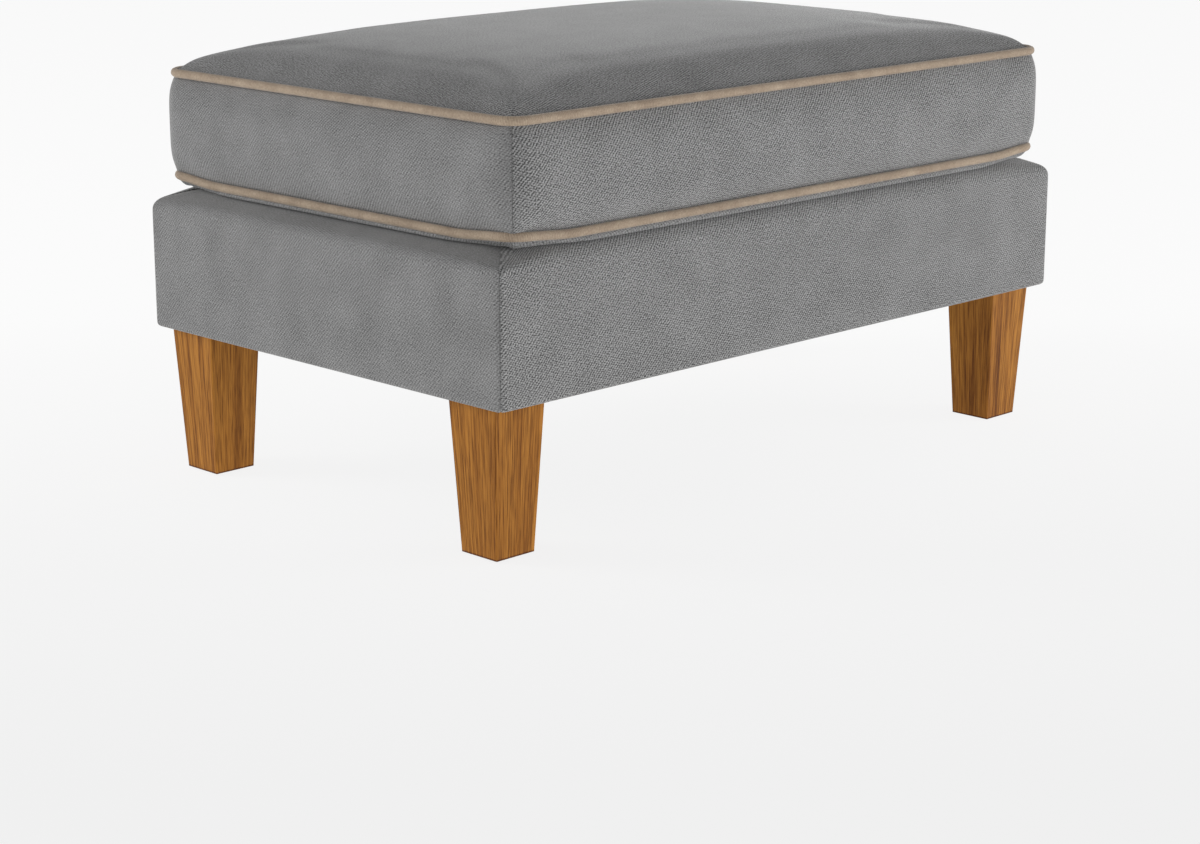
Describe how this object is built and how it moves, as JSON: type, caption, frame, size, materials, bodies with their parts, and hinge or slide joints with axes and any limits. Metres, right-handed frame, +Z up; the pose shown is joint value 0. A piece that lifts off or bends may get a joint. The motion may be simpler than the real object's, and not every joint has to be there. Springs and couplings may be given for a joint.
{
  "type": "footstool",
  "caption": "Rectangular footstool: upholstered base on square tapered wooden legs, with a loose crowned box cushion edged in contrasting piping.",
  "frame": {"origin": "on the floor under the middle of the footstool", "axes": "+X along the long side, -Y out of the long front, +Z up"},
  "size_m": [0.84, 0.532, 0.4622],
  "materials": {
    "grey_twill": "matte",
    "piping_cloth": "matte",
    "leg_wood": "satin",
    "frame_wood": "matte",
    "foam": "matte",
    "fibre": "matte",
    "webbing": "matte",
    "hessian": "matte",
    "platform_cloth": "matte",
    "dust_cloth": "matte",
    "plated_steel": "satin",
    "glide_plastic": "matte",
    "zip_tape": "matte",
    "zip_coil": "satin",
    "zip_metal": "satin"
  },
  "bodies": {
    "base": {"front_rail": "frame_wood", "back_rail": "frame_wood", "left_rail": "frame_wood", "right_rail": "frame_wood", "centre_brace": "frame_wood", "corner_block_front_left": "frame_wood", "corner_block_front_right": "frame_wood", "corner_block_back_left": "frame_wood", "corner_block_back_right": "frame_wood", "leg_front_left": "leg_wood", "leg_front_right": "leg_wood", "leg_back_left": "leg_wood", "leg_back_right": "leg_wood", "frame_screws": "plated_steel", "hanger_bolts": "plated_steel", "threaded_inserts": "plated_steel", "webbing_staples": "plated_steel", "cover_staples": "plated_steel", "leg_glides": "glide_plastic", "webbing_long_1": "webbing", "webbing_long_2": "webbing", "webbing_long_3": "webbing", "webbing_cross_1": "webbing", "webbing_cross_2": "webbing", "webbing_cross_3": "webbing", "webbing_cross_4": "webbing", "webbing_cross_5": "webbing", "hessian": "hessian", "deck_pad": "foam", "wadding_front": "fibre", "wadding_back": "fibre", "wadding_left": "fibre", "wadding_right": "fibre", "cover_front": "grey_twill", "cover_back": "grey_twill", "cover_left": "grey_twill", "cover_right": "grey_twill", "platform_cloth": "platform_cloth", "dust_cover": "dust_cloth"},
    "cushion": {"foam_core": "foam", "fibre_wrap": "fibre", "top_panel": "grey_twill", "bottom_panel": "grey_twill", "band_front": "grey_twill", "band_back": "grey_twill", "band_left": "grey_twill", "band_right": "grey_twill", "piping_top": "piping_cloth", "piping_bottom": "piping_cloth", "zip_tape_upper": "zip_tape", "zip_tape_lower": "zip_tape", "zip_coil_upper": "zip_coil", "zip_coil_lower": "zip_coil", "zip_stops": "zip_metal"},
    "zip_slider": {"zip_slider": "zip_metal"},
    "zip_pull": {"zip_pull": "zip_metal"}
  },
  "joints": [
    {"name": "cushion_lift", "type": "slide", "parent": "base", "child": "cushion", "axis": [0, 0, 1], "range_m": [0, 0.25]},
    {"name": "zip_slide", "type": "slide", "parent": "cushion", "child": "zip_slider", "axis": [1, 0, 0], "range_m": [-0.544, 0]},
    {"name": "pull_swing", "type": "hinge", "parent": "zip_slider", "child": "zip_pull", "pos_m": [0.2723, 0.26465, 0.36405], "axis": [0, 0, -1], "range_deg": [0, 180]}
  ]
}
